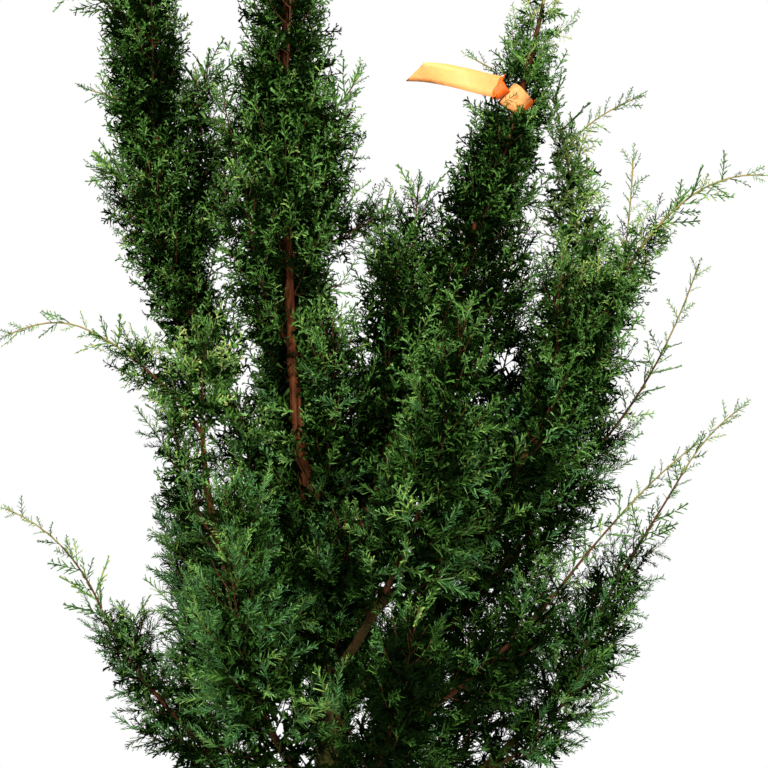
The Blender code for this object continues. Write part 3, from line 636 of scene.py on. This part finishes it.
# Limbs that are clad with short twigs of their own: from one share to another, and their reach at
# even stations. Where two stretches overlap the foliage is denser.
clad = {
    "trunk": (
        (0.13, 0.3, (0.05, 0.08, 0.1)), (0.19, 0.54, (0.06, 0.075, 0.09, 0.1)),
        (0.56, 0.82, (0.1, 0.1, 0.085, 0.07)), (0.2, 0.29, (0.07, 0.1, 0.1)),
        (0.52, 0.68, (0.09, 0.12, 0.12, 0.08)),
    ),
    "left_leader": ((0.24, 0.74, (0.08, 0.09, 0.09, 0.075)),),
    "right_leader": (
        (0.16, 0.81, (0.08, 0.095, 0.09, 0.085, 0.07, 0.055)), (0.56, 0.8, (0.09, 0.085, 0.075, 0.055)),
    ),
    "upper_right_bough": ((0.16, 0.68, (0.07, 0.09, 0.09, 0.07)),),
    "right_bough": ((0.14, 0.34, (0.06, 0.08)),),
}
# More side twigs, some of which stand out of the outline: share, heading, leans, length and reach.
strays = {
    "left_leader": (
        (0.5, 180, (78, 72, 66), 0.1, (0.042, 0.036, 0.028)),
        (0.6, 185, (80, 76, 72), 0.09, (0.026, 0.02, 0.012)),
        (0.7, 178, (56, 60, 70), 0.12, (0.042, 0.036, 0.028)),
        (0.39, 184, (58, 28, 6), 0.19, (0.03, 0.045, 0.05, 0.04)),
        (0.42, 0, (62, 22, 0), 0.2, (0.03, 0.05, 0.05, 0.04)),
        (0.55, 5, (60, 30, 4), 0.15, (0.03, 0.045, 0.045, 0.03)),
        (0.6, 0, (40, 10, 0), 0.14, (0.03, 0.035, 0.035, 0.025)),
    ),
    "right_leader": (
        (0.4, 185, (40, 24, 10), 0.15, shootReach), (0.77, 182, (62, 66, 60), 0.075, shootReach),
        (0.04, 285, (50, 16, 0), 0.17, (0.05, 0.07, 0.06, 0.03)),
        (0.42, 183, (52, 20, 0), 0.2, (0.04, 0.05, 0.05, 0.03)),
        (0.575, 355, (76, 64, 50), 0.085, (0.03, 0.036, 0.03)),
    ),
    "trunk": (
        (0.595, 180, (62, 26, 4), 0.19, (0.03, 0.045, 0.045, 0.035)),
        (0.16, 70, (40, 24, 6), 0.3, (0.05, 0.07, 0.07, 0.05)),
        (0.555, 357, (82, 70, 52), 0.135, (0.03, 0.045, 0.055, 0.042)),
        (0.634, 3, (58, 42, 32), 0.15, (0.04, 0.045, 0.036, 0.022)),
        (0.52, 0, (84, 78, 70), 0.075, (0.03, 0.036, 0.03)),
    ),
    "low_left_bough": (
        (0.4, 60, (30, 8, 0), 0.2, (0.05, 0.08, 0.06, 0.03)),
        (0.55, 240, (30, 10, 0), 0.09, (0.04, 0.06, 0.05, 0.02)),
    ),
    "left_bough": ((0.3, 170, (36, 12, 0), 0.19, (0.05, 0.07, 0.06, 0.03)),),
}
# Where the view in to a limb is open: its heights, half the width of the gap, and the share of the
# sprays in front that are left out.
barkViews = (
    ("trunk", 0.615, 0.99, 0.013, 0.95), ("trunk", 1.21, 1.33, 0.01, 0.85), ("trunk", 0.24, 0.345, 0.01, 0.55),
    ("left_bough", 0.475, 0.64, 0.011, 0.85), ("low_left_bough", 0.26, 0.42, 0.008, 0.6),
    ("right_leader", 1.22, 1.29, 0.008, 0.8),
)
# Gaps where the sky shows: the middle as seen across and up, and half the width and height.
skyGaps = np.array((
    (0.238, 0.808, 0.022, 0.02), (0.262, 0.864, 0.014, 0.012), (0.203, 0.755, 0.013, 0.014),
    (0.042, 0.304, 0.017, 0.036), (-0.073, 0.318, 0.011, 0.028), (0.063, 0.492, 0.011, 0.011),
    (-0.158, 1.154, 0.017, 0.011), (0.291, 1.1, 0.013, 0.036), (0.014, 0.412, 0.01, 0.01),
    (0.035, 0.975, 0.013, 0.014), (0.031, 0.884, 0.01, 0.016), (-0.29, 0.486, 0.038, 0.026),
    (0.206, 0.258, 0.018, 0.018), (0.244, 0.284, 0.016, 0.013), (0.172, 0.28, 0.011, 0.012),
))
gapShare = 0.93  # share of the sprays in a gap that are left out
# Where nothing stands in front of the tape: the middles of its loop, knot and tail, and how far
# round each.
tapeViews = (((0.256, 0.046, 1.18), 0.028), ((0.229, 0.04, 1.196), 0.026), ((0.195, 0.036, 1.204), 0.026))
tapeBehind = 0.004  # how far behind the middles something may be
sprayMiddle = 0.02  # how far up a full-sized spray its middle is
cladStations = 30


# Where points are seen across and up, on the upright plane through the trunk.
def seenAt(points):
    near = -eye[1] / (points[:, 1:2] - eye[1])
    return eye[::2] + (points[:, ::2] - eye[::2]) * near


# Whether each point is seen in one of the gaps, which are ellipses.
def inGaps(points):
    off = (seenAt(points)[:, None] - skyGaps[:, :2]) / skyGaps[:, 2:]
    return ((off**2).sum(2) < 1).any(1)


# Whether none of the points of each row stands in front of the tape.
def clearOfTape(rows):
    clear = np.ones(len(rows), bool)
    for spot, wide in tapeViews:
        gap = rows - spot
        clear &= ~((np.hypot(gap[..., 0], gap[..., 2]) < wide) & (gap[..., 1] < tapeBehind)).any(1)
    return clear


# Whether each spray, by its middle, stands in front of a limb's open stretch and is left out.
def blocks(middle, limb, bottom, top, wide, share):
    at, depth = (np.interp(middle[:, 2], paths[limb][:, 2], paths[limb][:, i]) for i in range(2))
    inside = (middle[:, 2] > bottom) & (middle[:, 2] < top)
    inside &= (np.abs(middle[:, 0] - at) < wide) & (middle[:, 1] < depth)
    return inside & (chance.random(len(at)) < share)


# Whether a stem on a limb is part of a region, by its first point.
def belongs(limb, stem, members, bottom=0.0, top=2.0):
    return limb in members and bottom <= stem[0][2] < top


shapes = [sprayShape(kind) for kind in sprayKinds.values() for _ in range(variants)]
plain = dict(young=False, slim=1)  # what twigs outside the masses are like
twigs, strayStems, total = [], [], 0
# Stems outside the masses: the clad stretches, and the strays, which are drawn with stems of their
# own.
outside = [
    (limb, along(paths[limb], np.linspace(first, last, cladStations))[0], reach, False)
    for limb, stretches in clad.items() for first, last, reach in stretches
]
outside += [
    (limb, grow(pointAt(paths[limb], share)[0], heading, 0, leans, length), reach, True)
    for limb, stems in strays.items() for share, heading, leans, length, reach in stems
]
for region, extent in regions.items():
    grown, replaced = [], []
    for label, row in rows.items():
        if not belongs(row["limb"], row["stem"], **extent):
            continue
        row["young"], row["slim"] = label in youngMasses, slim.get(label, 1)
        growTwigs(row, row["stem"], row["reach"], grown, twigs)
        fillStem(row, row["stem"], row["reach"], grown)
        for shoot in row["shoots"]:
            growTwigs(row, shoot, shootReach, grown, twigs)
        replaced.append(label)
    for limb, stem, reach, drawn in outside:
        if belongs(limb, stem, **extent):
            growTwigs(plain, stem, reach, grown, twigs)
            fillStem(plain, stem, reach, grown)
            if drawn:
                strayStems.append((stem, shootRadius, reach, False))
    sprays = {key: np.concatenate([one[key] for one in grown]) for key in grown[0]}
    middle = sprays["roots"] + sprays["ahead"] * sprays["size"][:, None] * sprayMiddle
    hidden = ~clearOfTape(middle[:, None])
    for view in barkViews:
        hidden |= blocks(middle, *view)
    hidden |= inGaps(middle) & (chance.random(len(middle)) < gapShare)
    sprays = {key: value[~hidden] for key, value in sprays.items()}
    sprays["kind"] = kindsOf(sprays)
    sprays["tone"] = tonesOf(sprays)
    piece = joinSprays(region, sprays, shapes)
    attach(piece, "root")
    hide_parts(*replaced)
    total += len(piece.data.polygons)
    print(region, np.bincount(sprays["kind"]), "sprays,", len(piece.data.polygons), "triangles")
print("leaves", total, "triangles")

twigTones = [
    tone("twigBrown", (0.08, 0.03, 0.014), roughness=0.8, gloss=0.05),
    tone("twigGreen", (0.12, 0.15, 0.04), gloss=0.1),
    tone("twigYellow", (0.21, 0.16, 0.045), gloss=0.1),
]
brown, green, yellow = range(len(twigTones))
# Stems thin to the radius at their end, and are yellow where less than a reach is left.
stemRule = dict(stations=24, sides=6, end=0.001, taper=2.2, yellow=0.026, yellowYoung=0.05)
twigSides, twigEnd = 3, 0.35  # the last is the share of a twig's radius at its end

parts = []
stems = [(row["stem"], row["radius"], row["reach"], row["young"]) for row in rows.values()]
stems += [(shoot, shootRadius, shootReach, True) for row in rows.values() for shoot in row["shoots"]]
stations = np.linspace(0, 1, stemRule["stations"])
for stem, first, reach, young in stems + strayStems:
    radii = stemRule["end"] + (first - stemRule["end"]) * (1 - stations) ** stemRule["taper"]
    points, faces = tubes(along(stem, stations)[0][None], radii, stemRule["sides"])
    sparse = readAt(reach, stations[:-1]) < stemRule["yellowYoung" if young else "yellow"]
    clear = clearOfTape(points[faces])
    parts.append((points, faces[clear], np.repeat(np.where(sparse, yellow, brown), stemRule["sides"])[clear]))
radii = twigRule["radius"] * np.linspace(1, twigEnd, twigRule["stations"] + 1)
for group in twigs:
    clear = clearOfTape(group["paths"]) & ~inGaps(group["paths"][:, -1])
    if clear.any():
        points, faces = tubes(group["paths"][clear], radii, twigSides)
        parts.append((points, faces, np.full(len(faces), green if group["young"] else brown)))
twigPiece = meshPiece("twigs", parts, twigTones, smooth=True)
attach(twigPiece, "root")
print("twigs", len(twigPiece.data.polygons) * 2, "triangles")

# Bark: the sides and strips round the trunk and round a bough, how long strips are, how each is
# shifted beside the next and how they wander, and the relief, which grows up to the thickest radius.
bark = dict(
    step=0.007, trunk=(30, 7), bough=(16, 5), fewest=12, plate=0.085, shift=0.37, wander=((0.45, 9), (0.2, 31)),
    relief=0.0006, deeper=0.1, thickest=0.022,
)
# What a strip's lifted end, the grooves between strips and the fine ridges add to the relief.
ridges = dict(plate=0.35, groove=0.35, fine=0.16, count=23, twist=12, twistStep=5)
flare = dict(wide=0.02, height=0.045, lobes=5, swell=0.22, turn=0.6)  # the trunk's foot
collar = dict(swell=0.35, height=0.03)  # where a bough leaves


# Strips of fibre run up a limb. A strip's face stands out by a saw-toothed height, so its end lifts
# as peeling bark does, and fine ridges run along it.
def barkTube(name):
    limb, path = limbs[name], paths[name]
    whole = lengthOf(path) * limb["bare"]
    trunk = limb["parent"] is None
    stations = max(bark["fewest"], round(whole / bark["step"]))
    sides, strips = bark["trunk" if trunk else "bough"]
    shares = np.linspace(0, limb["bare"], stations)
    line, ahead = along(path, shares)
    radius = readAt(limb["radii"], shares)[:, None]
    height = (shares / limb["bare"] * whole)[:, None]
    turn = (2 * np.pi * np.arange(sides) / sides)[None]
    if trunk:
        dying = np.exp(-line[:, 2:] / flare["height"])
        lobed = 1 + flare["swell"] * np.cos(flare["lobes"] * turn + flare["turn"])
        radius = radius * (1 + dying * lobed * flare["wide"] / limb["radii"][0])
    else:
        radius = radius * (1 + collar["swell"] * np.exp(-height / collar["height"]))
    phase = chance.uniform(0, phases, 5)  # the fifth is spare, and keeps the order of the draws
    wander = turn * strips / (2 * np.pi)
    for (far, often), start in zip(bark["wander"], phase):
        wander = wander + far * np.sin(often * height + start)
    index = np.floor(wander)
    plate = (height / bark["plate"] + bark["shift"] * index * index + phase[2]) % 1.0
    groove = np.abs(wander % 1.0 - 0.5) * 2
    fine = np.sin(ridges["count"] * turn + ridges["twist"] * np.sin(ridges["twistStep"] * height) + phase[3])
    ridge = ridges["plate"] * plate + ridges["groove"] * (1 - groove**4) + ridges["fine"] * fine
    relief = ridge * (bark["relief"] + bark["deeper"] * np.minimum(radius, bark["thickest"]))
    ring = aside(ahead[:, None], turn[0])
    points = line[:, None] + ring * (radius - bark["relief"] + relief)[..., None]
    points[0, :, 2] = np.maximum(points[0, :, 2], 0)
    faces = tubeFaces(stations, sides)
    return points.reshape(-1, 3), faces, np.zeros(len(faces))


# Sets each input of a node to a value, or links it from the output given.
def wire(tree, node, inputs):
    for name, value in inputs.items():
        if isinstance(value, bpy.types.NodeSocket):
            tree.links.new(value, node.inputs[name])
        else:
            node.inputs[name].default_value = value


# An output of a new shader node with its inputs wired, in a setting such as its data type.
def addNode(tree, kind, inputs, output, **settings):
    node = tree.nodes.new("ShaderNode" + kind)
    for name, value in settings.items():
        setattr(node, name, value)
    wire(tree, node, inputs)
    return node.outputs[output]


# A colour for each of some positions between 0 and 1, read by a factor.
def addRamp(tree, factor, stops):
    read = addNode(tree, "ValToRGB", {"Fac": factor}, "Color")
    ends = read.node.color_ramp.elements
    for i, (position, colour) in enumerate(stops):
        one = ends[i] if i < 2 else ends.new(position)
        one.position, one.color = position, (*colour, 1)
    return read


# From one range of values to another.
def addRange(tree, value, low, high, toLow=0.0, toHigh=1.0):
    inputs = {"Value": value, "From Min": low, "From Max": high, "To Min": toLow, "To Max": toHigh}
    return addNode(tree, "MapRange", inputs, "Result")


# One colour over another by a factor.
def addMix(tree, factor, a, b):
    return addNode(tree, "Mix", {"Factor": factor, "A": a, "B": b}, "Result", data_type="RGBA")


# Noise at some coordinates.
def addNoise(tree, place, scale, detail):
    return addNode(tree, "TexNoise", {"Vector": place, "Scale": scale, "Detail": detail}, "Fac")


# Gives the surface its colour, and a relief of some strength and depth by a height.
def addSurface(tree, colour, height, strength, depth):
    normal = addNode(tree, "Bump", {"Height": height, "Strength": strength, "Distance": depth}, "Normal")
    wire(tree, tree.nodes["Principled BSDF"], {"Base Color": colour, "Normal": normal})


# Noises are a scale and a detail, and a bump is a strength and a depth.
barkLook = dict(
    stretch=(1, 1, 0.12), fibreNoise=(260, 4), patchNoise=(22, 2), tuftNoise=(150, 3), bump=(0.6, 0.0012),
    fibres=((0.3, (0.022, 0.006, 0.003)), (0.52, (0.092, 0.026, 0.008)), (0.72, (0.185, 0.056, 0.016))),
    moss=((0.36, (0.01, 0.01, 0.003)), (0.66, (0.088, 0.092, 0.014))),
    mossHeights=(0.3, 0.82), mossAdded=0.54, mossFrom=(0.72, 1.02),
    paintedShade=(0.022, 0.01, 0.003), heart=(0.08, 0.38), heartWide=(0.15, 0.22), paintedShadeTo=0.55, paintedShadeMost=0.72,
)


# Fibres along each limb, patches of moss in two tones that thin out between two heights, and painted shade that
# darkens the limbs in the heart of the crown, an ellipse across and up.
def barkMaterial():
    made = tone("bark", (0.8, 0.8, 0.8), roughness=0.9, gloss=0.1)  # its colour is linked below
    tree, look = made.node_tree, barkLook
    place = addNode(tree, "TexCoord", {}, "Object")
    stretched = addNode(tree, "Mapping", {"Vector": place, "Scale": look["stretch"]}, "Vector")
    fibre = addNoise(tree, stretched, *look["fibreNoise"])
    patch, tuft = addNoise(tree, place, *look["patchNoise"]), addNoise(tree, place, *look["tuftNoise"])
    height = addNode(tree, "SeparateXYZ", {"Vector": place}, "Z")
    low = addRange(tree, height, *look["mossHeights"], look["mossAdded"], 0.0)
    over = addNode(tree, "Math", {0: low, 1: patch}, "Value", operation="ADD")
    moss = addRange(tree, over, *look["mossFrom"])
    mossy = addMix(tree, moss, addRamp(tree, fibre, look["fibres"]), addRamp(tree, tuft, look["moss"]))
    # Painted shade: the limbs are painted darker towards the middle of an ellipse in the heart of the crown.
    (x, z), (wide, tall) = look["heart"], look["heartWide"]
    inputs = {"Vector": place, "Scale": (1 / wide, 0, 1 / tall), "Location": (-x / wide, 0, -z / tall)}
    inputs = {"Vector": addNode(tree, "Mapping", inputs, "Vector")}
    heart = addNode(tree, "TexGradient", inputs, "Fac", gradient_type="SPHERICAL")
    paintedShade = addRange(tree, heart, 0.0, look["paintedShadeTo"], 0.0, look["paintedShadeMost"])
    addSurface(tree, addMix(tree, paintedShade, mossy, (*look["paintedShade"], 1)), fibre, *look["bump"])
    return made


barkLimbs = [name for name, limb in limbs.items() if limb["bare"] > 0]
parts = [barkTube(name) for name in barkLimbs]
barkPiece = meshPiece("barkOfTrunkAndBoughs", parts, [barkMaterial()], smooth=True)
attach(barkPiece, "root")
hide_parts(*barkLimbs)
print("bark", len(barkPiece.data.polygons) * 2, "triangles")

# The marking tape, from its place on the right leader. The tail has a centreline and steps across its
# width. The bands are rings, squashed to half widths along a direction and along the view, that
# pucker and widen. The knot, the fold and one end of the loop are deeper in colour.
tape = dict(
    at=0.752, thickness=0.0004, stations=40, cells=4, pucker=(0.05, 5), widen=(0.06, 3), deepPast=0.72,
    pale=(0.88, 0.37, 0.12), deep=(0.8, 0.13, 0.01), mottle=(0.96, 0.78, 0.6), crinkle=(140, 3),
    bump=(0.5, 0.0008),
    tail=(
        (-0.031, -0.012, 0.0137), (-0.0389, -0.014, 0.0145), (-0.0693, -0.017, 0.0215),
        (-0.1011, -0.013, 0.0293), (-0.1336, -0.008, 0.0342), (-0.1478, -0.006, 0.035),
    ),
    tailAcross=(
        (0.0098, 0.002, 0.03), (0.0098, 0.004, 0.0305), (0.0, 0.004, 0.033), (-0.007, 0.0, 0.0325),
        (-0.001, -0.012, 0.027), (0.0266, -0.012, 0.0252),
    ),
    bands={
        "loop": dict(
            centre=(-0.0045, 0, -0.0055), along=(0.76, 0, -0.65), half=(0.0194, 0.012),
            across=(0.0224, -0.004, 0.0252),
        ),
        "knot": dict(
            centre=(-0.0305, -0.009, 0.013), along=(0.8, 0, 0.6), half=(0.0062, 0.006),
            across=(0.01, 0.003, 0.029),
        ),
        "fold": dict(
            centre=(-0.029, -0.011, 0.008), along=(0.6, 0, -0.8), half=(0.0085, 0.0052),
            across=(0.017, -0.002, 0.014),
        ),
    },
)


# Tape of this colour, crinkled, and mottled a little darker.
def tapeMaterial(name, colour):
    made = tone(name, colour, roughness=0.45, gloss=0.2)
    tree = made.node_tree
    crinkle = addNoise(tree, addNode(tree, "TexCoord", {}, "Object"), *tape["crinkle"])
    darker = [channel * share for channel, share in zip(colour, tape["mottle"])]
    addSurface(tree, addMix(tree, crinkle, (*colour, 1), (*darker, 1)), crinkle, *tape["bump"])
    return made


# A thin strip round a grid: shares along the centreline, and cells across the width.
def ribbon(centre, across, closed):
    ahead = np.gradient(centre, axis=0)
    if closed:
        ahead = np.roll(centre, -1, axis=0) - np.roll(centre, 1, axis=0)
    out = unit(np.cross(ahead, across)) * tape["thickness"] / 2
    cells = np.linspace(-0.5, 0.5, tape["cells"] + 1)[None, :, None] * across[:, None]
    front, rear = centre[:, None] + cells + out[:, None], centre[:, None] + cells - out[:, None]
    ring = np.concatenate([front, rear[:, ::-1]], 1)
    return ring.reshape(-1, 3), tubeFaces(len(ring), ring.shape[1], closed)


tapeSpot = pointAt(paths["right_leader"], tape["at"])[0]
share = np.linspace(0, 1, tape["stations"])
centre, across = (along(np.array(tape[key], float), share)[0] for key in ("tail", "tailAcross"))
points, faces = ribbon(tapeSpot + centre, across, False)
parts = [(points, faces, np.zeros(len(faces)))]
turn = 2 * np.pi * np.arange(tape["stations"]) / tape["stations"]
for name, band in tape["bands"].items():
    lengthways = np.outer(np.cos(turn), band["along"]) * band["half"][0]
    depthways = np.outer(np.sin(turn), (0, 1, 0)) * band["half"][1]
    pucker = 1 + tape["pucker"][0] * np.sin(tape["pucker"][1] * turn + 1)[:, None]
    widen = 1 + tape["widen"][0] * np.cos(tape["widen"][1] * turn)[:, None]
    centre = tapeSpot + np.array(band["centre"]) + (lengthways + depthways) * pucker
    points, faces = ribbon(centre, np.array(band["across"]) * widen, True)
    deepPart = (np.cos(turn) > tape["deepPast"]) | (name != "loop")
    parts.append((points, faces, np.repeat(deepPart, 2 * tape["cells"] + 2)))
tapeTones = [tapeMaterial("tapePale", tape["pale"]), tapeMaterial("tapeDeep", tape["deep"])]
tapePiece = meshPiece("markingTape", parts, tapeTones, smooth=True)
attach(tapePiece, "root")
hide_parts("marking_tape")

# Two sprigs that cross in front of the loop.
sprigs = dict(
    roots=tapeSpot + np.array([(-0.024, -0.018, -0.01), (-0.003, -0.018, -0.022)]),
    ahead=unit(np.array([(0.8, -0.05, 0.6), (-0.22, -0.1, 0.97)])),
    size=np.array([0.6, 0.32]), kind=np.array([scaled, scaled]), tone=np.array([mid, dark]),
)
sprigPiece = joinSprays("sprigsOverTape", sprigs, shapes)
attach(sprigPiece, "root")
print("tape", len(tapePiece.data.polygons) * 2, "triangles")

# The floor is a disk, whose top is the ground.
disk = dict(sides=96, radius=1.6, thickness=0.02, colour=(0.82, 0.82, 0.82))
turns = np.linspace(0, 2 * np.pi, disk["sides"] + 1)[:-1]
rim = np.stack([disk["radius"] * np.cos(turns), disk["radius"] * np.sin(turns), 0 * turns], -1)
top = np.arange(disk["sides"])
edges = np.stack([top, top + len(top), np.roll(top, -1) + len(top), np.roll(top, -1)], -1)
floorMesh = bpy.data.meshes.new("floor")
floorPoints = np.vstack([rim, rim - np.array([0, 0, disk["thickness"]])])
floorMesh.from_pydata(floorPoints.tolist(), [], [top.tolist(), *edges.tolist()])
floorMesh.materials.append(tone("paleFloor", disk["colour"], roughness=0.8))
floor = addObject("floor", floorMesh)

# Round lamps, aimed at the middle of the plant: place, size and watts of each.
lamps = {
    "keyLight": ((-0.9, -3.5, 3.3), 1.2, 330),
    "fillLight": ((2.5, -2.6, 2.0), 2.0, 140),
    "backLight": ((0.6, 3.2, 2.4), 2.0, 100),
}
lampAim = np.array((0.05, 0, 0.8))
for name, (place, size, watts) in lamps.items():
    lamp = bpy.data.lights.new(name, "AREA")
    lamp.shape, lamp.size, lamp.energy = "DISK", size, watts
    light = addObject(name, lamp)
    light.location = place
    x, y, z = lampAim - place
    light.rotation_euler = (math.atan2(math.hypot(x, y), -z), 0, math.atan2(-x, y))

# The surround lights the plant gently, and shows white behind it.
surroundStrength = 0.3
world = bpy.data.worlds.new("studio")
bpy.context.scene.world = world
world.use_nodes = True
tree, white = world.node_tree, (1, 1, 1, 1)
backdrop = tree.nodes["Background"]
wire(tree, backdrop, {"Color": white})
surround = addNode(tree, "Background", {"Color": white, "Strength": surroundStrength}, "Background")
seen = addNode(tree, "LightPath", {}, "Is Camera Ray")
either = addNode(tree, "MixShader", {"Fac": seen, 1: surround, 2: backdrop.outputs["Background"]}, "Shader")
wire(tree, tree.nodes["World Output"], {"Surface": either})
bpy.context.scene.view_settings.view_transform = "Standard"
print("floor, lamps and surround")

camera = addObject("camera", bpy.data.cameras.new("camera"))
camera.data.sensor_width, camera.data.lens = 36, 134  # millimetres
camera.location = eye
camera.rotation_euler = (math.radians(90), 0, 0)
bpy.context.scene.camera = camera
